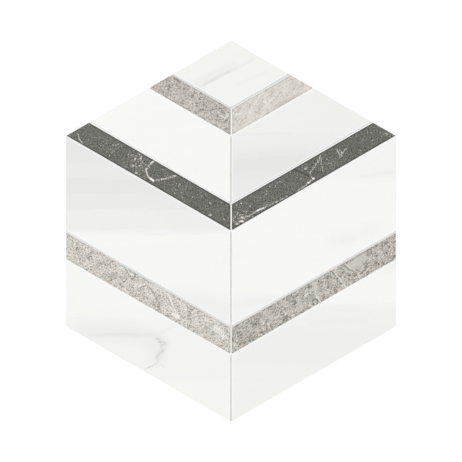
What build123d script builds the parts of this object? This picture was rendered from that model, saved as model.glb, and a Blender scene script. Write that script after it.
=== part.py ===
"""Hexagon mosaic tile: sawn stone bands and strips in chevrons, grouted, on a glass-fibre net.

The tile lies on its back with a corner at +Y. Its origin is the middle of the back. Every band meets its mirror
image in a mitre on the middle seam (x = 0), and only the rhombus in the top corner is one stone across the seam.
"""

import os
from math import cos, floor, radians, tan

from build123d import *

# Driving dimensions, in millimetres. Strips, bands and joints are measured square across.
across_flats = 300.0  # the hexagon, from flat side to flat side
stone_thickness = 10.0
strip_width = 20.4  # the grey strips and the dark strip
wide_joint = 1.8  # on the middle seam, and along the upper edge of each strip
fine_joint = 0.6  # along the lower edge of each strip
arris = 0.3  # eased edge round the face of each stone
grout_recess = 0.4  # the grout's face lies this far below the stones' faces

# The net that the stones are glued to
net_thickness = 0.5
net_pitch = 12.0  # from one yarn to the next
yarn_width = 1.2
net_margin = 2.0  # the net is trimmed this far inside the tile's outline

# The hexagon is three equal rhombi round its centre, as a cube seen on its corner.
# The chevrons climb at 30 degrees from the seam, parallel to two sides of each rhombus.
climb = radians(30)
rhombus_height = across_flats / 2  # square across the chevrons, so the top corner to the centre is one of these
corner_radius = rhombus_height / cos(climb)

# The corner rhombus, the upper band and the lower band share one width. The middle band takes up the rest.
# The joint below the dark strip is centred on the hexagon's centre, so half of it lies in each rhombus height.
strip_and_joints = wide_joint + strip_width + fine_joint
half_joint = fine_joint / 2
white_width = (rhombus_height - 2 * strip_and_joints + half_joint) / 2
middle_width = rhombus_height - half_joint - strip_and_joints - white_width

# Each chevron from the top corner down: its name, its width, and the joint above it
chevrons = [
    ("upper_grey_strip", strip_width, wide_joint),
    ("upper_white_band", white_width, fine_joint),
    ("dark_strip", strip_width, wide_joint),
    ("middle_white_band", middle_width, fine_joint),
    ("lower_grey_strip", strip_width, wide_joint),
    ("lower_white_band", white_width, fine_joint),
]

stone_back = Plane.XY.offset(net_thickness)


def seam_height(depth):
    """Y at which a chevron line, this far below the top corner, meets the seam."""
    return corner_radius - depth / cos(climb)


def chevron_point(depth, x):
    """Point of the right-hand chevron line of this depth, at x from the seam."""
    return (x, seam_height(depth) + x * tan(climb))


def hexagon(apothem, mode=Mode.ADD):
    """Hexagon with a corner at +Y, this far from its middle to each flat side."""
    RegularPolygon(apothem, side_count=6, major_radius=False, rotation=90, mode=mode)


def ease_face(stone):
    """Takes the sharp arris off the edges round the stone's face."""
    chamfer(stone.faces().sort_by(Axis.Z)[-1].edges(), length=arris)


# The rhombus in the top corner
with BuildPart() as corner_rhombus:
    with BuildSketch(stone_back):
        with BuildLine():
            right_end = chevron_point(white_width, across_flats)
            left_end = (-right_end[0], right_end[1])
            Polyline(left_end, chevron_point(white_width, 0), right_end, close=True)
        make_face()
        hexagon(across_flats / 2, Mode.INTERSECT)
    extrude(amount=stone_thickness)
    ease_face(corner_rhombus)
corner_rhombus.part.label = "top_white_rhombus"
stones = [corner_rhombus.part]

# The chevrons, each a right-hand stone and its mirror image
depth = white_width
for name, width, joint_above in chevrons:
    upper_edge = depth + joint_above
    lower_edge = upper_edge + width
    depth = lower_edge

    with BuildPart() as right_stone:
        with BuildSketch(stone_back):
            with BuildLine():
                Polyline(
                    chevron_point(upper_edge, wide_joint / 2),
                    chevron_point(upper_edge, across_flats),
                    chevron_point(lower_edge, across_flats),
                    chevron_point(lower_edge, wide_joint / 2),
                    close=True,
                )
            make_face()
            hexagon(across_flats / 2, Mode.INTERSECT)
        extrude(amount=stone_thickness)
        ease_face(right_stone)
    right_stone.part.label = f"{name}_right"

    with BuildPart() as left_stone:
        mirror(right_stone.part, about=Plane.YZ)
    left_stone.part.label = f"{name}_left"

    stones += [right_stone.part, left_stone.part]

# The grout is what the stones leave of the hexagon, up to just below their faces.
with BuildPart() as grout:
    with BuildSketch(stone_back):
        hexagon(across_flats / 2)
    extrude(amount=stone_thickness - grout_recess)
    for stone in stones:
        add(stone, mode=Mode.SUBTRACT)
grout.part.label = "joint_grout"

# The net: upright yarns stand half a pitch each side of the seam, and each cross yarn reaches at least those two.
# Half of the net is one part, which meets its mirror image on the seam.
net_apothem = across_flats / 2 - net_margin
net_corner = net_apothem / cos(climb)
first_yarn = net_pitch / 2
upright_count = floor((net_apothem - yarn_width / 2 - first_yarn) / net_pitch) + 1
highest_cross_yarn = net_corner - (first_yarn + yarn_width) * tan(climb) - yarn_width / 2
cross_count = 2 * (floor((highest_cross_yarn - first_yarn) / net_pitch) + 1)

with BuildPart() as right_net:
    with BuildSketch():
        with Locations([(first_yarn + i * net_pitch, 0) for i in range(upright_count)]):
            Rectangle(yarn_width, 2 * net_corner)
        with GridLocations(0, net_pitch, 1, cross_count):
            Rectangle(net_apothem, yarn_width, align=(Align.MIN, Align.CENTER))
        hexagon(net_apothem, Mode.INTERSECT)
    extrude(amount=net_thickness)
right_net.part.label = "backing_net_right"

with BuildPart() as left_net:
    mirror(right_net.part, about=Plane.YZ)
left_net.part.label = "backing_net_left"

os.makedirs("parts", exist_ok=True)
for piece in [*stones, grout.part, right_net.part, left_net.part]:
    export_step(piece, f"parts/{piece.label}.step")
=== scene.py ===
"""Dresses the hexagon mosaic tile: veined stones with eased arrises, sanded grout and a woven net.

Lengths are metres in the part's own frame. The stones' markings are placed in millimetres from the
tile's middle, with x to the right and y to the top corner.
"""

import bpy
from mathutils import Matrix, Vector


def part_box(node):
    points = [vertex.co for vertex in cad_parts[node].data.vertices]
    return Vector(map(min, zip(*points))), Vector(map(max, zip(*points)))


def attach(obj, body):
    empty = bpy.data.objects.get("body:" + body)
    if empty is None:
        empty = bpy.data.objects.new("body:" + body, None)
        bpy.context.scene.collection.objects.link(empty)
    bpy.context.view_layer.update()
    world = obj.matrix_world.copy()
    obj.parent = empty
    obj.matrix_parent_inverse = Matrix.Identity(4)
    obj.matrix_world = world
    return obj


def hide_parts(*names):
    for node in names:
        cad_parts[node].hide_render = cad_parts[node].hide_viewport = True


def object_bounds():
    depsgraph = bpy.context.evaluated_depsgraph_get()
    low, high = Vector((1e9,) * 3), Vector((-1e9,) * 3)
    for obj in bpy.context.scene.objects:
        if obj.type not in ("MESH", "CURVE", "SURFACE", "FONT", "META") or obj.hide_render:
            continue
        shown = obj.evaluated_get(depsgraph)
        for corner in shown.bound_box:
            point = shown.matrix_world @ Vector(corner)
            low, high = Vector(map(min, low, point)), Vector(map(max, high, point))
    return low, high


bl_info = {
    "name": "Hexagon Mosaic Tile",
    "version": (1, 0, 0),
    "blender": (4, 5, 0),
    "location": "View3D > Sidebar > Mosaic",
    "description": "Makes the stones, grout and net of a hexagon mosaic tile, and a stage to show it on",
    "category": "Object",
}

from math import ceil, cos, pi, radians, sin, sqrt, tan
from typing import NamedTuple

import bmesh
import bpy
from bpy.props import FloatProperty, FloatVectorProperty, IntProperty, PointerProperty
from mathutils import Color, Matrix, Vector, noise

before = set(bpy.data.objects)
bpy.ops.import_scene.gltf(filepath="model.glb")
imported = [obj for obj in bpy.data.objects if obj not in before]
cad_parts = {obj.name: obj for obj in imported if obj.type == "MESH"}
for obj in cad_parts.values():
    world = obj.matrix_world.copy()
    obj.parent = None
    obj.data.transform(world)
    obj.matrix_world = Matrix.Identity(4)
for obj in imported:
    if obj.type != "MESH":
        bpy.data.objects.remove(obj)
cad_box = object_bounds()

BODY = "root"
MILLIMETRES = 1000.0  # in a metre
MERGE_DISTANCE = 1e-6
FLAT_ANGLE = radians(1)
# The rim band carries painted colour: painted highlight on the white stones, painted shade on the grey and
# dark strips.
RIM = "rim"  # vertex attribute of a stone: 1 along the joints, 0 further in and on the tile's outline
CLIMB = radians(30)  # of the chevrons, away from the seam
SIDE_TURNS = [radians(60 * side) for side in range(6)]
OUTWARD = [Vector((cos(turn), sin(turn), 0.0)) for turn in SIDE_TURNS]  # square to the tile's sides


def display(red, green, blue):
    """Linear colour of display values from 0 to 255."""
    return tuple(Color((red / 255, green / 255, blue / 255)).from_srgb_to_scene_linear())


WHITE = display(255, 255, 255)

# Markings of the white stones
BRIGHT_BED = display(249, 249, 246)
PALE_BED = display(245, 245, 243)
MILD_BED = display(242, 242, 240)
SOFT_BED = display(239, 239, 238)
GREY_BED = display(235, 235, 234)
DEEP_BED = display(231, 231, 230)
VEIN_HAZE = display(234, 234, 234)
GREY_VEIN = display(227, 227, 227)
BEIGE_VEIN = display(205, 203, 199)

# Markings of the grey and dark strips
PALE_GRAIN = display(238, 235, 230)
PALE_PATCH = display(207, 203, 195)
DULL_PATCH = display(172, 169, 161)
# dark lines in the grey strips, also painted shade along their joints
DARK_LINE_AND_EDGE_SHADE = display(128, 124, 116)
WHITE_VEIN = display(250, 246, 241)
CREAM_VEIN = display(217, 213, 204)
BLACK_LINE = display(56, 56, 50)
# painted shade along the dark strips' joints
PAINTED_EDGE_SHADE = display(44, 44, 39)


class Mark(NamedTuple):
    """A vein, crack, bed, patch, line of grout tone, or band of painted light and shade on the grout. It
    follows a path and goes straight down.
    """

    path: list
    half_width: float  # at full strength this far from the path
    fade: float  # and gone after this much more
    colour: tuple
    strength: float = 1.0
    broken: float = 0.0  # share of it that is missing


class WhiteStone(NamedTuple):
    """A stone of the white marble: its brightness, its level beds and its veins."""

    brightness: float
    beds: list
    veins: list


class GreyStone(NamedTuple):
    """A stone of the grey marble: how its grains look, and its markings."""

    paleness: float  # share of pale grains
    grain: float  # size of a grain in millimetres
    contrast: float
    curls: float  # strength of the thin dark and pale curls between the grains
    streaks: float  # strength of the streaks
    flow: float  # how many times longer than wide the specks are
    slant: float  # direction of the streaks and specks, in degrees from the right
    marks: list


class DarkStone(NamedTuple):
    """A stone of the dark marble: where pale flecks crowd together, and its markings."""

    crowds: list
    marks: list


class JointToneAndPaintedLight(NamedTuple):
    """Band of another colour along a joint, by the stone above it. Most are painted light and shade:
    painted shade under the stone above, painted light by the strip below and in the fine joints; SOFT_FILL
    is a flatter joint tone.
    """

    stone_above: str
    reach: float  # at full strength this far from its middle line
    colour: tuple
    below: float = 0.0  # its middle line is this far below the stone
    right_only: bool = False


def bed(low, high, edge, colour):
    """Level bed of the block that crosses a whole stone."""
    beyond_tile = 200.0
    middle = (low + high) / 2
    return Mark([(-beyond_tile, middle), (beyond_tile, middle)], (high - low) / 2, edge, colour)


def spot(x, y, size, colour, strength=1.0):
    """Small oval patch."""
    quarter = size / 4
    return Mark([(x - quarter, y), (x + quarter, y)], quarter, quarter, colour, strength)


WHITE_STONES = {
    "top_white_rhombus": WhiteStone(
        brightness=0.96,
        beds=[],
        veins=[
            Mark([(-34, 133.5), (-12, 144), (2, 150)], 0.5, 6.0, VEIN_HAZE, 0.5),
            Mark([(-29, 130.7), (-10, 140.9), (4, 147.8)], 0.4, 2.4, VEIN_HAZE, 0.85),
            Mark([(4, 147.8), (13, 152.5), (21, 156.5)], 0.3, 2.2, VEIN_HAZE, 0.6),
            Mark([(-24, 133.3), (-17, 137.2), (-10, 140.9), (-1, 145.4)], 0.4, 1.3, GREY_VEIN, 0.9),
            Mark([(6, 133.5), (19.5, 139), (33, 145)], 0.2, 2.4, VEIN_HAZE, 0.3),
        ],
    ),
    "upper_white_band_left": WhiteStone(brightness=1.0, beds=[], veins=[]),
    "upper_white_band_right": WhiteStone(
        brightness=0.94,
        beds=[
            bed(20, 82, 10, SOFT_BED),
            bed(20, 71, 9, GREY_BED),
            bed(56, 65, 8, DEEP_BED),
        ],
        veins=[Mark([(0, 87.5), (26, 88.5), (53, 88.5)], 0.2, 2.2, GREY_BED, 0.5)],
    ),
    "middle_white_band_left": WhiteStone(
        brightness=1.0,
        beds=[
            bed(3, 90, 8, SOFT_BED),
            bed(21, 90, 4, GREY_BED),
            bed(38, 44, 7, DEEP_BED),
            bed(66, 90, 7, DEEP_BED),
        ],
        veins=[Mark([(-80, -72), (-35, -72), (0, -82)], 10.0, 16.0, MILD_BED)],
    ),
    "middle_white_band_right": WhiteStone(
        brightness=1.01,
        beds=[
            bed(50, 110, 8, PALE_BED),
            bed(-110, -62, 10, PALE_BED),
        ],
        veins=[
            Mark([(119, 49.5), (135, 52), (151, 55)], 0.3, 2.6, SOFT_BED, 0.6),
            Mark([(94, -9), (110, -6), (130, 1)], 1.0, 11.0, PALE_BED, 0.8),
            Mark([(101, -9), (111, -6.5)], 0.5, 5.0, SOFT_BED, 0.4),
            Mark([(2, -68), (34.5, -62.5)], 0.5, 5.0, SOFT_BED, 0.5),
        ],
    ),
    "lower_white_band_left": WhiteStone(
        brightness=0.995,
        beds=[bed(-132, -81, 7, PALE_BED)],
        veins=[
            Mark([(-134, -90), (-90, -93), (-68, -100), (-68, -112)], 1.0, 14.0, SOFT_BED, 0.85),
            Mark([(-130, -94.5), (-101, -94), (-68, -94.5)], 0.3, 3.5, VEIN_HAZE, 0.8),
            Mark([(-68, -94.5), (-61, -91), (-54, -87)], 0.2, 2.5, VEIN_HAZE, 0.35),
            Mark([(-122, -94.5), (-101, -94), (-72, -94)], 0.1, 1.0, GREY_VEIN, 0.35),
            Mark([(-66, -99), (-60.5, -103), (-63, -109), (-66, -115)], 1.2, 4.5, VEIN_HAZE, 0.85),
            Mark([(-67, -98), (-64, -101), (-60.5, -102)], 0.7, 1.6, BEIGE_VEIN, 0.6, 0.3),
            Mark([(-65, -100.5), (-63.5, -104), (-62, -108.5)], 0.9, 1.8, BEIGE_VEIN, 0.55, 0.35),
            Mark([(-62, -108.5), (-65.5, -112), (-67.4, -115)], 0.6, 1.5, BEIGE_VEIN, 0.6, 0.3),
            Mark(
                [(-67.4, -115), (-66, -119.5), (-71.8, -123), (-78.2, -125.7)], 0.2, 1.0, GREY_VEIN, 0.8
            ),
            Mark([(-66.5, -120), (-71.8, -123), (-78.2, -125.7)], 0.2, 0.8, BEIGE_VEIN, 0.6, 0.5),
            Mark([(-65, -120), (-61, -123.5)], 0.2, 1.6, VEIN_HAZE, 0.6),
        ],
    ),
    "lower_white_band_right": WhiteStone(
        brightness=0.96,
        beds=[
            bed(-64, -40, 8, BRIGHT_BED),
            bed(-118, -92, 8, MILD_BED),
        ],
        veins=[Mark([(72, -84), (95, -82.5), (122, -82)], 0.5, 4.0, SOFT_BED, 0.4)],
    ),
}

GREY_STONES = {
    "upper_grey_strip_left": GreyStone(
        paleness=0.5, grain=1.3, contrast=0.92, curls=0.15, streaks=0.0, flow=2.2, slant=-35,
        marks=[
            Mark([(-51, 139), (-47, 136)], 0.6, 1.4, DARK_LINE_AND_EDGE_SHADE, 0.7),
            Mark([(-60, 131), (-57, 133), (-55.5, 130.5), (-58, 128.5)], 0.3, 0.7, DARK_LINE_AND_EDGE_SHADE, 0.7),
            Mark([(-9, 105), (-5.5, 102.5), (-2, 106)], 0.3, 0.6, PALE_GRAIN, 0.8),
            Mark([(-13, 101), (-8, 99), (-3, 100.5)], 0.3, 0.6, DARK_LINE_AND_EDGE_SHADE, 0.6),
        ],
    ),
    "upper_grey_strip_right": GreyStone(
        paleness=0.75, grain=1.4, contrast=0.4, curls=0.05, streaks=0.12, flow=1.5, slant=48,
        marks=[
            Mark([(36, 131), (47, 137)], 0.8, 3.0, PALE_PATCH, 0.6),
            spot(31, 117.5, 3.0, PALE_GRAIN, 0.9),
            Mark([(42, 114), (58, 123)], 0.4, 2.2, DULL_PATCH, 0.3),
        ],
    ),
    "lower_grey_strip_left": GreyStone(
        paleness=0.68, grain=1.1, contrast=1.1, curls=0.0, streaks=0.0, flow=1.2, slant=20,
        marks=[
            Mark([(-108.5, -40.5), (-104.5, -41.5)], 0.8, 3.5, DULL_PATCH, 0.55),
            Mark([(-98.5, -31), (-89.5, -44.5)], 0.2, 0.6, DARK_LINE_AND_EDGE_SHADE, 0.6),
            Mark([(-94.5, -32), (-91.5, -38)], 0.2, 0.6, DARK_LINE_AND_EDGE_SHADE, 0.45),
            Mark([(-96, -31.5), (-90.5, -41)], 0.2, 0.6, PALE_GRAIN, 0.7),
            Mark([(-83, -50), (-79.5, -48.5), (-76, -47.5)], 0.6, 0.8, WHITE_VEIN, 0.8, 0.3),
            Mark([(-75.5, -48.5), (-65, -67)], 0.2, 0.6, DARK_LINE_AND_EDGE_SHADE, 0.65),
            Mark([(-74, -49), (-70.5, -52), (-69, -55)], 0.6, 1.2, WHITE_VEIN, 0.75, 0.35),
            Mark([(-64, -54), (-58, -60), (-54, -70)], 2.0, 2.0, PALE_GRAIN, 0.8, 0.45),
            Mark([(-57.5, -57.5), (-48.5, -77)], 0.2, 0.6, WHITE_VEIN, 0.7, 0.1),
            Mark([(-59, -59), (-54, -69)], 0.2, 0.6, DARK_LINE_AND_EDGE_SHADE, 0.5),
            Mark([(-53, -76), (-48, -78)], 0.9, 1.0, WHITE_VEIN, 0.8, 0.2),
            Mark([(-46, -65), (-42, -70)], 1.2, 1.4, WHITE_VEIN, 0.75, 0.45),
            Mark([(-15, -88), (-9, -91.5), (-6, -96)], 1.6, 1.8, WHITE_VEIN, 0.85, 0.35),
            Mark([(-148, -1), (-144.5, -6)], 0.3, 0.7, DARK_LINE_AND_EDGE_SHADE, 0.6),
        ],
    ),
    "lower_grey_strip_right": GreyStone(
        paleness=0.47, grain=1.25, contrast=1.1, curls=0.15, streaks=0.0, flow=2.0, slant=45,
        marks=[
            Mark([(109, -32), (115, -28), (121, -24)], 2.0, 2.5, PALE_PATCH, 0.75),
            Mark([(113, -30), (117, -31)], 2.5, 2.5, PALE_PATCH, 0.5),
            Mark([(101.5, -29.5), (107.5, -35.5), (112, -37)], 0.3, 0.7, DARK_LINE_AND_EDGE_SHADE, 0.65),
            Mark([(104, -29.5), (109, -35)], 0.2, 0.6, PALE_GRAIN, 0.5),
            Mark([(117.5, -39.5), (123.5, -33)], 0.3, 0.6, DARK_LINE_AND_EDGE_SHADE, 0.7),
            Mark([(118.5, -41), (124.5, -34.5)], 0.2, 0.6, PALE_GRAIN, 0.6),
            Mark([(94, -37), (99.5, -44.5), (105, -51)], 0.3, 0.6, PALE_GRAIN, 0.75, 0.15),
            Mark([(92, -36.5), (98, -44.5)], 0.2, 0.7, DARK_LINE_AND_EDGE_SHADE, 0.5),
            Mark([(76, -49), (77, -56)], 1.2, 2.0, PALE_PATCH, 0.65),
            Mark([(77.5, -58), (81, -64)], 0.3, 0.7, PALE_GRAIN, 0.6),
            Mark([(61.5, -61), (63.5, -70)], 0.8, 1.8, PALE_PATCH, 0.65),
            Mark([(46, -64), (51, -68)], 1.0, 2.2, PALE_PATCH, 0.5),
            Mark([(34, -76), (39, -79)], 1.5, 2.5, PALE_PATCH, 0.4),
            Mark([(69, -63), (73, -60)], 1.5, 2.0, DULL_PATCH, 0.5),
        ],
    ),
}

DARK_STONES = {
    "dark_strip_left": DarkStone(
        crowds=[
            Mark([(-87, 68), (-84, 60), (-84, 52)], 4.0, 6.0, CREAM_VEIN, 0.5),
            Mark([(-52, 43), (-44, 38.5)], 2.0, 4.0, CREAM_VEIN, 0.4),
            Mark([(-107, 71), (-103, 80)], 1.5, 3.0, CREAM_VEIN, 0.25),
            Mark([(-12, 21), (-7, 12)], 1.0, 2.5, CREAM_VEIN, 0.3),
        ],
        marks=[
            Mark([(-69, 64), (-74.5, 60), (-77, 55.5)], 0.4, 0.7, CREAM_VEIN, 0.95, 0.25),
            Mark([(-69, 64), (-73, 61.5)], 0.45, 0.6, WHITE_VEIN, 0.9, 0.2),
            Mark([(-77, 55.5), (-75.8, 50.4), (-73, 47.5)], 0.45, 0.6, CREAM_VEIN, 0.95, 0.05),
            Mark([(-73.5, 48), (-70.5, 45.5)], 0.5, 0.6, WHITE_VEIN),
            Mark(
                [(-68.2, 46.3), (-63.6, 46.5), (-59, 47.7), (-50.7, 50.4)], 0.35, 0.6, CREAM_VEIN, 1.0, 0.3
            ),
            Mark([(-139.5, 88), (-137.5, 83), (-135.5, 79.5)], 0.2, 0.6, CREAM_VEIN, 0.7, 0.1),
            spot(-86, 52.5, 2.0, CREAM_VEIN, 0.9),
            spot(-82.5, 66, 1.6, CREAM_VEIN, 0.9),
            spot(-19, 14.5, 1.8, CREAM_VEIN, 0.9),
            spot(-36, 26, 2.0, BLACK_LINE, 0.7),
            spot(-3.5, 16, 2.4, BLACK_LINE, 0.7),
        ],
    ),
    "dark_strip_right": DarkStone(
        crowds=[
            Mark([(3, 11), (16, 15)], 3.5, 5.0, CREAM_VEIN, 0.6),
            Mark([(98, 72), (100, 67), (92, 62)], 1.5, 3.0, CREAM_VEIN, 0.35),
            Mark([(10, 27), (16, 31)], 1.5, 3.0, CREAM_VEIN, 0.3),
            Mark([(33, 34.5), (43, 45)], 1.0, 3.0, CREAM_VEIN, 0.25),
            Mark([(139, 90), (141, 88)], 1.0, 2.0, CREAM_VEIN, 0.4),
        ],
        marks=[
            Mark([(58, 55.5), (65, 53), (71.5, 49.5)], 0.4, 0.8, BLACK_LINE, 0.9),
            Mark(
                [(82, 69.5), (78.5, 62.5), (72.5, 54), (72, 50), (75, 47.8)],
                0.3, 0.6, CREAM_VEIN, 0.8, 0.35,
            ),
            Mark([(75, 47.8), (70.5, 44), (65, 39.5), (60, 36)], 0.35, 0.7, CREAM_VEIN, 0.85, 0.3),
            spot(75, 47.8, 2.0, WHITE_VEIN),
            spot(70.5, 44, 1.8, WHITE_VEIN, 0.9),
            Mark([(82, 66), (82.5, 60), (83.5, 54)], 0.25, 0.6, CREAM_VEIN, 0.6, 0.3),
            Mark([(96.5, 73.5), (99, 68), (105, 74.5)], 0.3, 0.6, CREAM_VEIN, 0.75, 0.3),
            spot(68, 56.5, 2.0, CREAM_VEIN, 0.6),
            Mark([(51.5, 31.5), (47.5, 29), (38, 25.3), (28.5, 20.5)], 0.3, 0.6, CREAM_VEIN, 0.8, 0.3),
            Mark([(29.5, 21), (23, 18)], 0.4, 0.5, WHITE_VEIN, 0.9, 0.1),
            Mark([(23, 18), (16, 13.5), (10, 12)], 0.3, 0.6, CREAM_VEIN, 0.8, 0.3),
            spot(10, 9, 2.2, WHITE_VEIN),
            spot(10, 12.5, 1.8, CREAM_VEIN),
            spot(5.2, 6.5, 1.6, CREAM_VEIN),
        ],
    ),
}

# Painted light and shade in the joints, and one flatter joint tone. They differ from the rest of the grout:
# painted shade under some stones, painted light by the strips below them and in the fine joints, which
# their narrow gaps shade.
PAINTED_LIGHT_WHITE = display(253, 253, 251)
PAINTED_LIGHT_PALE = display(244, 243, 240)
SOFT_FILL = display(228, 227, 224)
PAINTED_JOINT_SHADE = display(219, 218, 215)
# painted shade on the seam's left side
PAINTED_SEAM_SHADE = display(206, 205, 201)
WIDE_REACH = 2.2  # covers a wide joint
FINE_REACH = 0.9  # covers a fine joint
JOINT_TONE_AND_PAINTED_LIGHT = [
    JointToneAndPaintedLight("top_white_rhombus", WIDE_REACH, SOFT_FILL),
    JointToneAndPaintedLight("middle_white_band_left", WIDE_REACH, SOFT_FILL),
    # painted light in the joint above the dark strip
    JointToneAndPaintedLight("upper_white_band_left", WIDE_REACH, PAINTED_LIGHT_PALE),
    # painted shade under the stone above, then a thin line of painted light by the strip below
    JointToneAndPaintedLight("top_white_rhombus", WIDE_REACH, PAINTED_JOINT_SHADE, right_only=True),
    JointToneAndPaintedLight("top_white_rhombus", reach=0.2, colour=PAINTED_LIGHT_WHITE, below=1.55, right_only=True),
    JointToneAndPaintedLight("upper_white_band_right", WIDE_REACH, PAINTED_JOINT_SHADE, right_only=True),
    JointToneAndPaintedLight("upper_white_band_right", reach=0.35, colour=PAINTED_LIGHT_WHITE, below=1.25, right_only=True),
    # painted light that lifts the fine joints out of the shade of their narrow gaps
    JointToneAndPaintedLight("upper_grey_strip_left", FINE_REACH, PAINTED_LIGHT_WHITE),
    JointToneAndPaintedLight("dark_strip_left", FINE_REACH, PAINTED_LIGHT_WHITE),
    JointToneAndPaintedLight("lower_grey_strip_left", FINE_REACH, PAINTED_LIGHT_WHITE),
]

# Between two strips the seam has painted shade on its left and painted light on its right, as a hollow
# joint lit from the right
PAINTED_SEAM_SHADE_AND_LIGHT = [
    Mark([(-0.6, 88), (-0.6, 110)], 0.4, 0.4, PAINTED_SEAM_SHADE),
    Mark([(0.5, 88), (0.5, 110)], 0.35, 0.3, PAINTED_LIGHT_WHITE),
    Mark([(-0.6, 1), (-0.6, 23)], 0.4, 0.4, PAINTED_SEAM_SHADE),
    Mark([(0.5, 1), (0.5, 23)], 0.35, 0.3, PAINTED_LIGHT_WHITE),
    Mark([(0.5, -111), (0.5, -89)], 0.35, 0.3, PAINTED_LIGHT_PALE),
]


class MosaicStoneSettings(bpy.types.PropertyGroup):
    """Sizes and colours of the stones."""

    arris: FloatProperty(
        name="Arris",
        description="Radius of the rounded edge round each face",
        default=0.0003,
        unit="LENGTH",
    )
    wear: FloatProperty(
        name="Wear",
        description="How far the arris is rubbed away at its most worn places",
        default=0.00012,
        unit="LENGTH",
    )
    # The stones' rim is a band of painted highlight on the white stones and painted shade on the grey
    # strips, along the joints.
    rim: FloatProperty(
        name="Rim",
        description="Width of the band along the joints where the ground edge shows",
        default=0.0009,
        unit="LENGTH",
    )
    # band of painted shade along the dark strips' joints
    dark_edge_shade: FloatProperty(
        name="Dark rim",
        description="Width of the same band on the dark strips",
        default=0.0013,
        unit="LENGTH",
    )
    outline_step: FloatProperty(
        name="Outline step",
        description="Longest straight stretch between two points of a stone's outline",
        default=0.003,
        unit="LENGTH",
    )
    white: FloatVectorProperty(
        name="White marble",
        description="Colour of the brightest white stone",
        default=display(248, 248, 245),
        subtype="COLOR",
    )
    pale_grain: FloatVectorProperty(
        name="Pale grain",
        description="Colour of the pale grains in the grey strips",
        default=display(240, 235, 227),
        subtype="COLOR",
    )
    dark_grain: FloatVectorProperty(
        name="Dark grain",
        description="Colour of the dark grains in the grey strips",
        default=display(108, 104, 94),
        subtype="COLOR",
    )
    dark: FloatVectorProperty(
        name="Dark marble",
        description="Middle colour of the dark strips",
        default=display(98, 99, 91),
        subtype="COLOR",
    )


class MosaicGroutSettings(bpy.types.PropertyGroup):
    """Sizes and colour of the grout."""

    rim: FloatProperty(
        name="Rim",
        description="Width of the slope along each stone",
        default=0.0002,
        unit="LENGTH",
    )
    dip: FloatProperty(
        name="Dip",
        description="Depth of the joint's middle below its rim",
        default=0.0001,
        unit="LENGTH",
    )
    colour: FloatVectorProperty(
        name="Grout",
        description="Middle colour of the grout",
        default=display(229, 227, 223),
        subtype="COLOR",
    )


class MosaicNetSettings(bpy.types.PropertyGroup):
    """Sizes and colour of the backing net."""

    pitch: FloatProperty(
        name="Pitch",
        description="From one yarn to the next",
        default=0.012,
        unit="LENGTH",
    )
    yarn_width: FloatProperty(
        name="Yarn width",
        description="Width of a cross yarn, and of the two strands of an upright yarn side by side",
        default=0.0012,
        unit="LENGTH",
    )
    sides: IntProperty(
        name="Sides",
        description="Sides of a yarn's section",
        default=8,
        min=4,
    )
    colour: FloatVectorProperty(
        name="Net",
        description="Colour of the glass-fibre yarns",
        default=display(232, 233, 230),
        subtype="COLOR",
    )


class MosaicStageSettings(bpy.types.PropertyGroup):
    """The camera's view and the light."""

    view_width: FloatProperty(
        name="View width",
        description="Width of the picture at the stones' faces",
        default=0.4204,
        unit="LENGTH",
    )
    lens: FloatProperty(
        name="Lens",
        description="Focal length in millimetres",
        default=100.0,
    )
    dome_top: FloatProperty(
        name="Dome top",
        description="Brightness of the dome of light straight above",
        default=1.05,
    )
    dome_foot: FloatProperty(
        name="Dome foot",
        description="Brightness of the dome of light near the floor",
        default=0.5,
    )
    key_light: FloatProperty(
        name="Key light",
        description="Brightness that the large soft lamp adds on the tile's face",
        default=0.12,
    )
    floor_glow: FloatProperty(
        name="Floor glow",
        description="Brightness of the white floor as it is seen",
        default=1.05,
    )
    shadow_share: FloatProperty(
        name="Shadow share",
        description="How much of the shadow shows on the white floor",
        default=0.2,
        subtype="FACTOR",
        min=0.0,
        max=1.0,
    )


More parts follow.
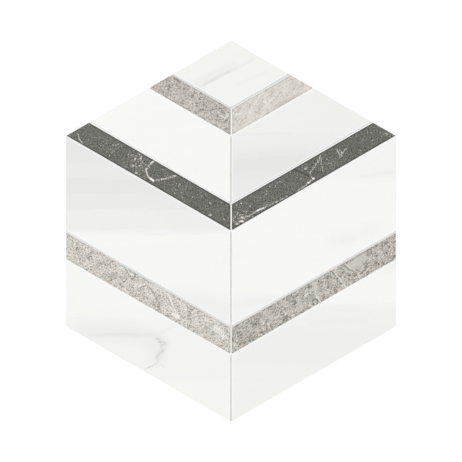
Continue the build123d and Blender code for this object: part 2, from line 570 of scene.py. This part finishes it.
class Wiring:
    """Adds shader nodes to one node tree. Each input is another node's socket or a plain value."""

    def __init__(self, tree):
        self.tree = tree
        tree.nodes.clear()

    def feed(self, socket, value):
        if isinstance(value, bpy.types.NodeSocket):
            self.tree.links.new(value, socket)
        elif socket.type == "RGBA":
            socket.default_value = (*value, 1.0)
        else:
            socket.default_value = value

    def node(self, kind, inputs=None, **settings):
        made = self.tree.nodes.new(kind)
        for name, value in settings.items():
            setattr(made, name, value)
        for key, value in (inputs or {}).items():
            self.feed(made.inputs[key], value)
        return made

    def math(self, operation, first, second=0.0, clamp=False):
        made = self.node("ShaderNodeMath", {0: first, 1: second}, operation=operation, use_clamp=clamp)
        return made.outputs[0]

    def total(self, start, *parts):
        """A start value and weighted parts, added up."""
        for weight, value in parts:
            made = self.node("ShaderNodeMath", {0: value, 1: weight, 2: start}, operation="MULTIPLY_ADD")
            start = made.outputs[0]
        return start

    def vector(self, operation, first, second, output="Vector"):
        """Vector of two vectors, where a single number stands for three."""
        made = self.node("ShaderNodeVectorMath", {0: first, 1: second}, operation=operation)
        return made.outputs[output]

    def measure(self, operation, first, second):
        """Number from two vectors."""
        return self.vector(operation, first, second, output="Value")

    def spread(self, value, low, high, to_low=0.0, to_high=1.0, ease="LINEAR"):
        """Spreads the range from low to high over another range, and stops at its ends."""
        inputs = {"Value": value, "From Min": low, "From Max": high, "To Min": to_low, "To Max": to_high}
        return self.node("ShaderNodeMapRange", inputs, interpolation_type=ease).outputs["Result"]

    def mix(self, factor, first, second):
        made = self.node("ShaderNodeMix", {0: factor, 6: first, 7: second}, data_type="RGBA")
        return made.outputs[2]

    def noise(self, point, size, detail=2.0, roughness=0.5, distortion=0.0, output="Fac"):
        """Noise around one half, whose lumps are about this many millimetres across."""
        inputs = {
            "Vector": point,
            "Scale": 1 / size,
            "Detail": detail,
            "Roughness": roughness,
            "Distortion": distortion,
        }
        return self.node("ShaderNodeTexNoise", inputs).outputs[output]

    def swing(self, point, size, reach=0.2, **options):
        """Noise from -1 to 1. The smaller its reach, the more of it lies at the ends."""
        return self.spread(self.noise(point, size, **options), 0.5 - reach, 0.5 + reach, -1.0, 1.0)

    def stretched(self, point, stretch, slant=0.0):
        """The same place squeezed along a slanting line, so that noise on it comes out as streaks."""
        inputs = {"Vector": point, "Rotation": (0.0, 0.0, slant), "Scale": (stretch, 1.0, 1.0)}
        return self.node("ShaderNodeMapping", inputs, vector_type="TEXTURE").outputs["Vector"]

    def curl(self, noise, height, thickness):
        """Thin line that curls where noise is at one height: 1 on it and 0 off it."""
        away = self.math("ABSOLUTE", self.math("SUBTRACT", noise, height))
        return self.spread(away, thickness, 0.0)

    def object_point(self):
        """Place on the piece, in millimetres."""
        place = self.node("ShaderNodeTexCoord").outputs["Object"]
        return self.vector("MULTIPLY", place, (MILLIMETRES,) * 3)

    def own_point(self, point, number):
        """The same place shifted, so that each stone looks cut from another part of the block."""
        block_step = Vector((173.0, 91.0, 57.0))
        return self.vector("ADD", point, block_step * number)

    def wander(self, point, size, reach):
        """Moves a place sideways by noise, so that a line through it is no longer straight."""
        noise_middle = (0.5, 0.5, 0.5)
        push = self.noise(point, size, output="Color")
        push = self.vector("SUBTRACT", push, noise_middle)
        push = self.vector("MULTIPLY", push, (2 * reach, 2 * reach, 0.0))
        return self.vector("ADD", point, push)

    def path_distance(self, point, path):
        """Millimetres from a place to the nearest stretch of a path, seen from above."""
        flat = self.vector("MULTIPLY", point, (1.0, 1.0, 0.0))
        nearest = None
        for start, end in zip(path, path[1:]):
            start = Vector((*start, 0.0))
            span = Vector((*end, 0.0)) - start
            reach = self.vector("SUBTRACT", flat, start)
            along = self.measure("DOT_PRODUCT", reach, span / span.length_squared)
            along = self.math("ADD", along, clamp=True)
            away = self.measure("DISTANCE", reach, self.vector("MULTIPLY", along, span))
            nearest = away if nearest is None else self.math("MINIMUM", nearest, away)
        return nearest

    def mark_cover(self, point, mark):
        """How much of a mark covers a place, from 0 to its strength."""
        away = self.path_distance(point, mark.path)
        gone = mark.half_width + mark.fade
        cover = self.spread(away, gone, mark.half_width, 0.0, mark.strength, "SMOOTHSTEP")
        if mark.broken:
            cover = self.math("MULTIPLY", cover, self.fragments(point, mark.broken))
        return cover

    def fragments(self, point, missing):
        """1 on the fragments of a broken mark, and 0 in the gaps between them."""
        size = 1.3
        edge = 0.12
        noise_low = 0.25
        noise_range = 0.5
        gap_end = noise_low + noise_range * missing
        return self.spread(self.noise(point, size, detail=1.0), gap_end, gap_end + edge)

    def add_marks(self, colour, point, marks):
        for mark in marks:
            colour = self.mix(self.mark_cover(point, mark), colour, mark.colour)
        return colour

    def finish_stone(self, colour, relief, point, painted_edge_colour, painted_edge_strength):
        """Honed face with a band along the joints of painted highlight on the white stones and painted
        shade on the grey and dark strips, and sawn sides that are duller and ribbed by the saw.
        """
        face_upright = 0.9
        side_upright = 0.4
        rib_stretch = (0.1, 0.1, 1.0)
        rib_size = 0.5
        patch_size = 6.0
        smooth_patch = 0.34
        dull_patch = 0.46
        sawn_dullness = 0.25
        stone_index = 1.48
        normal = self.node("ShaderNodeNewGeometry").outputs["Normal"]
        upright = self.node("ShaderNodeSeparateXYZ", {0: normal}).outputs["Z"]
        sawn = self.spread(self.math("ABSOLUTE", upright), face_upright, side_upright)
        # painted edge highlight and shade along the joints on the face, kept off the sawn sides
        rim = self.node("ShaderNodeAttribute", attribute_name=RIM).outputs["Fac"]
        rim = self.math("MULTIPLY", rim, self.spread(sawn, 1.0, 0.0, 0.0, painted_edge_strength))
        colour = self.mix(rim, colour, painted_edge_colour)
        ribs = self.noise(self.vector("MULTIPLY", point, rib_stretch), rib_size, detail=1.0)
        height = self.math("ADD", relief, self.math("MULTIPLY", sawn, ribs))
        patches = self.noise(point, patch_size, detail=3.0)
        polish = self.spread(patches, low=0.3, high=0.7, to_low=smooth_patch, to_high=dull_patch)
        roughness = self.total(polish, (sawn_dullness, sawn))
        self.finish_rough(colour, roughness, height, strength=0.12, depth=0.0002, IOR=stone_index)

    def finish_rough(self, colour, roughness, height, strength, depth, **sockets):
        """Surface with a bump of this depth. Other sockets of the shader go by their own names."""
        bump = self.node("ShaderNodeBump", {"Strength": strength, "Distance": depth, "Height": height})
        inputs = {"Base Color": colour, "Roughness": roughness, "Normal": bump.outputs["Normal"], **sockets}
        self.finish(self.node("ShaderNodeBsdfPrincipled", inputs).outputs["BSDF"])

    def finish(self, surface):
        self.node("ShaderNodeOutputMaterial", {"Surface": surface})


def new_material(name):
    """A material and the wiring to fill it with."""
    material = bpy.data.materials.new(name)
    material.use_nodes = True
    return material, Wiring(material.node_tree)


def white_marble(name, stone, number, settings):
    """Nearly even white with level beds and a few grey veins."""
    material, wiring = new_material(name)
    point = wiring.object_point()
    own = wiring.own_point(point, number)
    streaks = wiring.swing(wiring.stretched(own, stretch=12.0), size=4.0, detail=3.0)
    grain = wiring.swing(own, size=1.1, detail=2.0, roughness=0.7)
    brightness = wiring.total(stone.brightness, (0.006, streaks), (0.009, grain))
    colour = wiring.vector("MULTIPLY", brightness, tuple(settings.white))
    waver = (0.0, 3.0, 0.0)
    streaked = wiring.vector("ADD", point, wiring.vector("MULTIPLY", streaks, waver))
    colour = wiring.add_marks(colour, streaked, stone.beds)
    wandering = wiring.wander(wiring.wander(point, size=22.0, reach=1.2), size=3.0, reach=0.5)
    colour = wiring.add_marks(colour, wandering, stone.veins)
    # painted highlight along the joints
    wiring.finish_stone(colour, grain, point, painted_edge_colour=WHITE, painted_edge_strength=1.0)
    return material


def grey_marble(name, stone, number, settings):
    """Tightly packed grains with dark and pale specks, and thin curls between them."""
    material, wiring = new_material(name)
    point = wiring.object_point()
    own = wiring.own_point(point, number)
    grains = wiring.swing(own, size=stone.grain, reach=0.14, detail=1.0)
    patches = wiring.swing(own, size=6.0, detail=3.0)
    slant = radians(stone.slant)
    swaying = wiring.wander(own, size=7.0, reach=3.0 * (stone.flow - 1))
    drawn_out = wiring.stretched(swaying, stone.flow, slant)
    speck_size = 1.1 * stone.grain / sqrt(stone.flow)
    specks = wiring.noise(drawn_out, size=speck_size, detail=1.0, distortion=0.4)
    specks = wiring.total(specks, (0.03, patches))
    dark_specks = wiring.spread(specks, low=0.43, high=0.34)
    pale_specks = wiring.spread(specks, low=0.61, high=0.7)
    swirls = wiring.noise(own, size=3.0 * stone.grain, detail=1.0, distortion=1.5)
    dark_curls = wiring.curl(swirls, height=0.5, thickness=0.05)
    pale_curls = wiring.curl(swirls, height=0.6, thickness=0.05)
    streaks = wiring.swing(wiring.stretched(own, stretch=6.0, slant=slant), size=2.0, detail=3.0)
    paleness = wiring.total(
        stone.paleness,
        (0.16 * stone.contrast, grains),
        (0.08 * stone.contrast, patches),
        (-0.5 * stone.contrast, dark_specks),
        (0.45 * stone.contrast, pale_specks),
        (stone.streaks, streaks),
        (-stone.curls, dark_curls),
        (stone.curls, pale_curls),
    )
    colour = wiring.mix(paleness, tuple(settings.dark_grain), tuple(settings.pale_grain))
    wandering = wiring.wander(wiring.wander(point, size=9.0, reach=0.8), size=2.0, reach=0.4)
    colour = wiring.add_marks(colour, wandering, stone.marks)
    # painted shade along the joints
    wiring.finish_stone(colour, grains, point, painted_edge_colour=DARK_LINE_AND_EDGE_SHADE, painted_edge_strength=0.25)
    return material


def dark_marble(name, stone, number, settings):
    """Fine dark grain with pale flecks and white veins."""
    material, wiring = new_material(name)
    point = wiring.object_point()
    own = wiring.own_point(point, number)
    grain = wiring.swing(own, size=1.3, reach=0.14, detail=2.0, roughness=0.75)
    patches = wiring.swing(own, size=8.0, detail=3.0)
    brightness = wiring.total(0.97, (0.72, grain), (0.1, patches))
    colour = wiring.vector("MULTIPLY", brightness, tuple(settings.dark))
    crowd = 0.0
    for mark in stone.crowds:
        crowd = wiring.math("ADD", crowd, wiring.mark_cover(point, mark))
    scatter = wiring.noise(own, size=1.5, detail=1.0, roughness=0.6, distortion=0.8)
    chance = wiring.total(scatter, (0.17, crowd), (0.03, patches))
    flecks = wiring.spread(chance, low=0.69, high=0.73, to_high=0.95)
    colour = wiring.mix(flecks, colour, CREAM_VEIN)
    wandering = wiring.wander(wiring.wander(point, size=5.0, reach=1.0), size=1.4, reach=0.9)
    colour = wiring.add_marks(colour, wandering, stone.marks)
    # painted shade along the joints
    wiring.finish_stone(colour, grain, point, painted_edge_colour=PAINTED_EDGE_SHADE, painted_edge_strength=1.0)
    return material


def joint_mark(fill):
    """Band in the joint below a stone, mostly of painted light and shade, once of a flatter joint tone. It
    climbs with the chevrons.
    """
    edge = 0.3
    lowest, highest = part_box(fill.stone_above)
    off_seam = max(0.0, lowest.x, -highest.x)  # of the stone's lowest corner
    slope = tan(CLIMB)
    foot = (lowest.y - off_seam * slope) * MILLIMETRES - fill.below / cos(CLIMB)
    side = cad_box[1].x * MILLIMETRES
    climb = side * slope
    path = [(-side, foot + climb), (0.0, foot), (side, foot + climb)]
    if fill.right_only:
        path = path[1:]
    return Mark(path, fill.reach, edge, fill.colour)


def sanded_grout(settings):
    """Pale grout with sand grains, with painted light and shade along some joints and on the seam."""
    material, wiring = new_material("sanded_grout")
    point = wiring.object_point()
    sand = wiring.swing(point, size=0.9, detail=2.0, roughness=0.7)
    cloud = wiring.swing(point, size=9.0)
    brightness = wiring.total(0.95, (0.08, sand), (0.03, cloud))
    colour = wiring.vector("MULTIPLY", brightness, tuple(settings.colour))
    # painted light and shade along the joints and on the seam
    colour = wiring.add_marks(colour, point, [joint_mark(fill) for fill in JOINT_TONE_AND_PAINTED_LIGHT])
    colour = wiring.add_marks(colour, point, PAINTED_SEAM_SHADE_AND_LIGHT)
    wiring.finish_rough(colour, roughness=0.85, height=sand, strength=0.3, depth=0.0001)
    return material


def glass_yarn(name, settings, stretch):
    """White fibres that run along the yarn."""
    material, wiring = new_material(name)
    point = wiring.object_point()
    fibres = wiring.swing(wiring.vector("MULTIPLY", point, stretch), size=0.25)
    brightness = wiring.total(0.92, (0.12, fibres))
    colour = wiring.vector("MULTIPLY", brightness, tuple(settings.colour))
    wiring.finish_rough(colour, roughness=0.4, height=fibres, strength=0.5, depth=0.0001)
    return material


def add_piece(name, shape, materials, nodes):
    """Makes a finished shape a piece that stands for these nodes."""
    mesh = bpy.data.meshes.new(name)
    shape.to_mesh(mesh)
    shape.free()
    for material in materials:
        mesh.materials.append(material)
    piece = bpy.data.objects.new(name, mesh)
    bpy.context.scene.collection.objects.link(piece)
    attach(piece, BODY)
    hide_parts(*nodes)


def node_outline(node, step):
    """The node's underside as one face, with its outline cut into short stretches."""
    shape = bmesh.new()
    shape.from_mesh(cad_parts[node].data)
    bmesh.ops.remove_doubles(shape, verts=shape.verts, dist=MERGE_DISTANCE)
    bmesh.ops.dissolve_limit(shape, angle_limit=FLAT_ANGLE, verts=shape.verts, edges=shape.edges)
    underside = min(shape.faces, key=lambda face: face.calc_center_median().z)
    kept = set(underside.verts)
    bmesh.ops.delete(shape, geom=[corner for corner in shape.verts if corner not in kept], context="VERTS")
    bmesh.ops.delete(shape, geom=list(shape.faces), context="FACES_ONLY")
    for edge in list(shape.edges):
        cuts = ceil(edge.calc_length() / step) - 1
        if cuts > 0:
            bmesh.ops.subdivide_edges(shape, edges=[edge], cuts=cuts)
    face = bmesh.ops.contextual_create(shape, geom=list(shape.edges))["faces"][0]
    face.normal_update()
    if face.normal.z < 0:
        face.normal_flip()
    return shape, face


def raise_outline(shape, face, height):
    """Closed prism above an outline. Returns its top face."""
    raised = bmesh.ops.extrude_face_region(shape, geom=[face], use_keep_orig=True)["geom"]
    top = next(item for item in raised if isinstance(item, bmesh.types.BMFace))
    bmesh.ops.translate(shape, verts=list(top.verts), vec=(0.0, 0.0, height))
    bmesh.ops.recalc_face_normals(shape, faces=list(shape.faces))
    return top


def round_arris(shape, top, arris):
    """Rounds the edge round a top face by rings of a quarter circle, and lifts the face by its radius."""
    ring_count = 3
    turned = 0.0
    for ring in range(ring_count):
        angle = (ring + 1) / ring_count * pi / 2
        inward = arris * (cos(turned) - cos(angle))
        upward = arris * (sin(angle) - sin(turned))
        bmesh.ops.inset_region(shape, faces=[top], thickness=inward, depth=upward, use_even_offset=True)
        turned = angle


def wear_arris(shape, foot, crest, wear):
    """Rubs the arris between two heights away here and there, inside its own outline."""
    bumps_per_metre = 180.0
    smoothness = 1.0
    octave_step = 2.0
    octaves = 3
    shape.normal_update()
    for corner in shape.verts:
        if corner.co.z < foot - MERGE_DISTANCE:
            continue
        place = corner.co.xy.to_3d() * bumps_per_metre
        rub = noise.fractal(place, smoothness, octave_step, octaves)
        shift = corner.normal * -wear * max(0.0, rub)
        if corner.co.z > crest - MERGE_DISTANCE:
            shift.z = 0.0
        if corner.co.z < foot + MERGE_DISTANCE:
            shift.xy = (0.0, 0.0)
        corner.co += shift


def make_stone(name, material, settings, painted_edge_width):
    """A sawn stone whose face has a rounded and slightly worn arris."""
    lowest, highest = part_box(name)
    shape, face = node_outline(name, settings.outline_step)
    foot = highest.z - settings.arris
    top = raise_outline(shape, face, foot - lowest.z)
    round_arris(shape, top, settings.arris)
    wear_arris(shape, foot, highest.z, settings.wear)
    # inset band along the joints that carries the painted edge highlight and shade
    bmesh.ops.inset_region(shape, faces=[top], thickness=painted_edge_width, use_even_offset=True)
    rim = shape.verts.layers.float.new(RIM)
    inner = set(top.verts)
    outline = cad_box[1].x - 2 * settings.arris
    for corner in shape.verts:
        on_outline = max(corner.co.dot(outward) for outward in OUTWARD) > outline
        corner[rim] = 0.0 if corner in inner or on_outline else 1.0
    sawn_limit = 0.05
    face_limit = 0.99
    for side in shape.faces:
        side.smooth = sawn_limit < side.normal.z < face_limit
    add_piece(f"{name}_stone", shape, [material], [name])


def make_stones(stones, marble, slot, settings, painted_edge_width):
    """Every stone of one marble."""
    for number, (name, stone) in enumerate(stones.items()):
        material = marble(f"{slot}_{name}", stone, number, settings)
        make_stone(name, material, settings, painted_edge_width)


def make_grout(material, settings, outline_step):
    """Grout that is wiped hollow along the middle of each joint."""
    node = "joint_grout"
    lowest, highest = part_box(node)
    shape, face = node_outline(node, outline_step)
    top = raise_outline(shape, face, highest.z - lowest.z)
    bmesh.ops.inset_region(
        shape, faces=[top], thickness=settings.rim, depth=-settings.dip, use_even_offset=True
    )
    add_piece("joint_grout_fill", shape, [material], [node])


def add_strand(shape, width, height, sides, stations):
    """Oval strand along Y through these points of its middle line. Returns its vertices."""
    here = stations[0]
    turn = Matrix.Translation(here) @ Matrix.Rotation(radians(90), 4, "X")
    made = bmesh.ops.create_circle(shape, segments=sides, radius=0.5, cap_ends=False, matrix=turn)["verts"]
    bmesh.ops.scale(shape, verts=made, vec=(width, 1.0, height), space=Matrix.Translation(-here))
    ring = list({edge for corner in made for edge in corner.link_edges})
    everything = list(made)
    for there in stations[1:]:
        grown = bmesh.ops.extrude_edge_only(shape, edges=ring)["geom"]
        corners = [item for item in grown if isinstance(item, bmesh.types.BMVert)]
        bmesh.ops.translate(shape, verts=corners, vec=there - here)
        ring = [
            item for item in grown
            if isinstance(item, bmesh.types.BMEdge) and all(end in corners for end in item.verts)
        ]
        everything += corners
        here = there
    return everything


def repeat_strands(shape, strands, count, step):
    """Copies strands a number of times, each a step from the last."""
    geometry = list(strands)
    geometry += {edge for corner in strands for edge in corner.link_edges}
    geometry += {face for corner in strands for face in corner.link_faces}
    for number in range(1, count):
        copy = bmesh.ops.duplicate(shape, geom=geometry)["geom"]
        corners = [item for item in copy if isinstance(item, bmesh.types.BMVert)]
        bmesh.ops.translate(shape, verts=corners, vec=number * step)


def trim_to_hexagon(shape, apothem):
    """Cuts everything off along the six sides of a hexagon with a corner at +Y, and closes the cut ends."""
    for outward in OUTWARD:
        everything = list(shape.verts) + list(shape.edges) + list(shape.faces)
        bmesh.ops.bisect_plane(
            shape, geom=everything, plane_co=outward * apothem, plane_no=outward, clear_outer=True
        )
    ends = [edge for edge in shape.edges if edge.is_boundary]
    bmesh.ops.holes_fill(shape, edges=ends, sides=0)


def make_net(materials, settings):
    """Leno net: each upright yarn is two strands that cross between the cross yarns."""
    nodes = ["backing_net_left", "backing_net_right"]
    lowest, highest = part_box(nodes[1])
    apothem = highest.x
    corner_radius = apothem / cos(CLIMB)
    middle = (lowest.z + highest.z) / 2
    strand_height = (highest.z - lowest.z) / 2
    pitch = settings.pitch
    strand_width = settings.yarn_width / 2
    upright_count = 2 * ceil(apothem / pitch)
    cross_count = 2 * ceil(corner_radius / pitch)
    half_length = cross_count / 2 * pitch
    steps = 4
    shape = bmesh.new()
    strands = []
    for side in (-1, 1):
        stations = []
        for step in range(cross_count * steps + 1):
            phase = step / steps * pi
            x = side * strand_width / 2 * cos(phase)
            y = step / steps * pitch - half_length
            z = middle + side * strand_height / 2 * sin(phase)
            stations.append(Vector((x, y, z)))
        strands += add_strand(shape, strand_width, strand_height, settings.sides, stations)
    first_x = -(upright_count - 1) / 2 * pitch
    bmesh.ops.translate(shape, verts=strands, vec=(first_x, 0.0, 0.0))
    repeat_strands(shape, strands, upright_count, Vector((pitch, 0.0, 0.0)))
    uprights = set(shape.faces)
    ends = [Vector((0.0, -corner_radius, middle)), Vector((0.0, corner_radius, middle))]
    strands = add_strand(shape, settings.yarn_width, strand_height, settings.sides, ends)
    bmesh.ops.rotate(shape, verts=strands, matrix=Matrix.Rotation(radians(90), 3, "Z"))
    first_y = -(cross_count - 1) / 2 * pitch
    bmesh.ops.translate(shape, verts=strands, vec=(0.0, first_y, 0.0))
    repeat_strands(shape, strands, cross_count, Vector((0.0, pitch, 0.0)))
    for face in shape.faces:
        face.material_index = 0 if face in uprights else 1
        face.smooth = True
    trim_to_hexagon(shape, apothem)
    bmesh.ops.recalc_face_normals(shape, faces=list(shape.faces))
    add_piece("backing_net", shape, materials, nodes)


def seen_directly(wiring):
    """1 for rays that show a surface, also in a reflection, and 0 for rays that only light things."""
    path = wiring.node("ShaderNodeLightPath").outputs
    seen = wiring.math("MAXIMUM", path["Is Camera Ray"], path["Is Glossy Ray"])
    return wiring.math("MAXIMUM", seen, path["Is Transmission Ray"])


def make_world(scene, settings):
    """White all round to look at. As a light it is brightest straight above."""
    world = bpy.data.worlds.new("white_dome")
    world.use_nodes = True
    wiring = Wiring(world.node_tree)
    direction = wiring.node("ShaderNodeTexCoord").outputs["Generated"]
    upward = wiring.node("ShaderNodeSeparateXYZ", {0: direction}).outputs["Z"]
    light = wiring.spread(upward, 0.0, 1.0, settings.dome_foot, settings.dome_top)
    strength = wiring.spread(seen_directly(wiring), 0.0, 1.0, light, 1.0)
    dome = wiring.node("ShaderNodeBackground", {"Color": WHITE, "Strength": strength})
    wiring.node("ShaderNodeOutputWorld", {"Surface": dome.outputs["Background"]})
    scene.world = world


def make_floor(scene, settings):
    """White floor that keeps a part of the tile's shadow."""
    half_size = 3.0
    drop = 0.0002
    shape = bmesh.new()
    bmesh.ops.create_grid(shape, x_segments=1, y_segments=1, size=half_size)
    bmesh.ops.translate(shape, verts=list(shape.verts), vec=(0.0, 0.0, cad_box[0].z - drop))
    mesh = bpy.data.meshes.new("floor")
    shape.to_mesh(mesh)
    shape.free()
    material, wiring = new_material("white_floor")
    paper_grey = display(205, 205, 205)
    paper = wiring.node("ShaderNodeBsdfDiffuse", {"Color": paper_grey}).outputs[0]
    bright = wiring.node("ShaderNodeBsdfDiffuse", {"Color": WHITE}).outputs[0]
    glow = wiring.node("ShaderNodeEmission", {"Color": WHITE, "Strength": settings.floor_glow}).outputs[0]
    shown = wiring.node("ShaderNodeMixShader", {0: settings.shadow_share, 1: glow, 2: bright}).outputs[0]
    mixed = wiring.node("ShaderNodeMixShader", {0: seen_directly(wiring), 1: paper, 2: shown})
    wiring.finish(mixed.outputs[0])
    mesh.materials.append(material)
    floor = bpy.data.objects.new("floor", mesh)
    scene.collection.objects.link(floor)


def make_key_light(scene, settings):
    """Large soft lamp, high on the upper left."""
    width = 1.6
    place = Vector((-0.8, 0.9, 2.7))
    light = bpy.data.lights.new("key_light", "AREA")
    light.shape = "SQUARE"
    light.size = width
    distance = place.length
    slant = place.z / distance
    radiance = settings.key_light * pi * distance**2 / (width**2 * slant)
    light.energy = radiance * pi * width**2
    lamp = bpy.data.objects.new("key_light", light)
    lamp.location = place
    lamp.rotation_euler = (-place).to_track_quat("-Z", "Y").to_euler()
    scene.collection.objects.link(lamp)


def make_camera(scene, settings):
    """Straight above the tile, with the top corner up in the picture."""
    camera = bpy.data.cameras.new("camera")
    camera.lens = settings.lens
    stand = bpy.data.objects.new("camera", camera)
    distance = settings.view_width * settings.lens / camera.sensor_width
    stand.location = (0.0, 0.0, cad_box[1].z + distance)
    scene.collection.objects.link(stand)
    scene.camera = stand


class MosaicPiece:
    """What the operators share."""

    bl_options = {"REGISTER", "UNDO"}


class MOSAIC_OT_white_stones(MosaicPiece, bpy.types.Operator):
    """Makes the white rhombus and the white bands"""

    bl_idname = "mosaic.white_stones"
    bl_label = "White Stones"

    def execute(self, context):
        settings = context.scene.mosaic_stones
        make_stones(WHITE_STONES, white_marble, "white_marble", settings, settings.rim)
        return {"FINISHED"}


class MOSAIC_OT_grey_strips(MosaicPiece, bpy.types.Operator):
    """Makes the grey strips"""

    bl_idname = "mosaic.grey_strips"
    bl_label = "Grey Strips"

    def execute(self, context):
        settings = context.scene.mosaic_stones
        make_stones(GREY_STONES, grey_marble, "grey_marble", settings, settings.rim)
        return {"FINISHED"}


class MOSAIC_OT_dark_strips(MosaicPiece, bpy.types.Operator):
    """Makes the dark strips"""

    bl_idname = "mosaic.dark_strips"
    bl_label = "Dark Strips"

    def execute(self, context):
        settings = context.scene.mosaic_stones
        make_stones(DARK_STONES, dark_marble, "dark_marble", settings, settings.dark_edge_shade)
        return {"FINISHED"}


class MOSAIC_OT_grout(MosaicPiece, bpy.types.Operator):
    """Makes the grout in the joints"""

    bl_idname = "mosaic.grout"
    bl_label = "Grout"

    def execute(self, context):
        settings = context.scene.mosaic_grout
        make_grout(sanded_grout(settings), settings, context.scene.mosaic_stones.outline_step)
        return {"FINISHED"}


class MOSAIC_OT_net(MosaicPiece, bpy.types.Operator):
    """Makes the net on the stones' backs"""

    bl_idname = "mosaic.net"
    bl_label = "Backing Net"

    def execute(self, context):
        settings = context.scene.mosaic_net
        along = 0.08  # draws the fibres out along the yarn
        upright = glass_yarn("glass_yarn_upright", settings, (1.0, along, 1.0))
        cross = glass_yarn("glass_yarn_cross", settings, (along, 1.0, 1.0))
        make_net([upright, cross], settings)
        return {"FINISHED"}


class MOSAIC_OT_stage(MosaicPiece, bpy.types.Operator):
    """Sets up the white floor, the soft light and the camera straight above the tile"""

    bl_idname = "mosaic.stage"
    bl_label = "Stage"

    def execute(self, context):
        settings = context.scene.mosaic_stage
        scene = context.scene
        scene.view_settings.view_transform = "Standard"
        make_world(scene, settings)
        make_floor(scene, settings)
        make_key_light(scene, settings)
        make_camera(scene, settings)
        return {"FINISHED"}


class MOSAIC_PT_panel(bpy.types.Panel):
    """Lists the pieces of the tile and their settings"""

    bl_idname = "MOSAIC_PT_panel"
    bl_label = "Hexagon Mosaic Tile"
    bl_space_type = "VIEW_3D"
    bl_region_type = "UI"
    bl_category = "Mosaic"

    def draw(self, context):
        scene = context.scene
        for name in SETTINGS:
            box = self.layout.box()
            settings = getattr(scene, name)
            for key in settings.__annotations__:
                box.prop(settings, key)
        for operator in OPERATORS:
            self.layout.operator(operator.bl_idname)


SETTINGS = {
    "mosaic_stones": MosaicStoneSettings,
    "mosaic_grout": MosaicGroutSettings,
    "mosaic_net": MosaicNetSettings,
    "mosaic_stage": MosaicStageSettings,
}
OPERATORS = [
    MOSAIC_OT_white_stones,
    MOSAIC_OT_grey_strips,
    MOSAIC_OT_dark_strips,
    MOSAIC_OT_grout,
    MOSAIC_OT_net,
    MOSAIC_OT_stage,
]
CLASSES = [*SETTINGS.values(), *OPERATORS, MOSAIC_PT_panel]


def register():
    for listed in CLASSES:
        bpy.utils.register_class(listed)
    for name, group in SETTINGS.items():
        setattr(bpy.types.Scene, name, PointerProperty(type=group))


def unregister():
    for name in SETTINGS:
        delattr(bpy.types.Scene, name)
    for listed in reversed(CLASSES):
        bpy.utils.unregister_class(listed)


def main():
    register()
    bpy.ops.mosaic.white_stones()
    bpy.ops.mosaic.grey_strips()
    bpy.ops.mosaic.dark_strips()
    bpy.ops.mosaic.grout()
    bpy.ops.mosaic.net()
    bpy.ops.mosaic.stage()


if __name__ == "__main__":
    main()
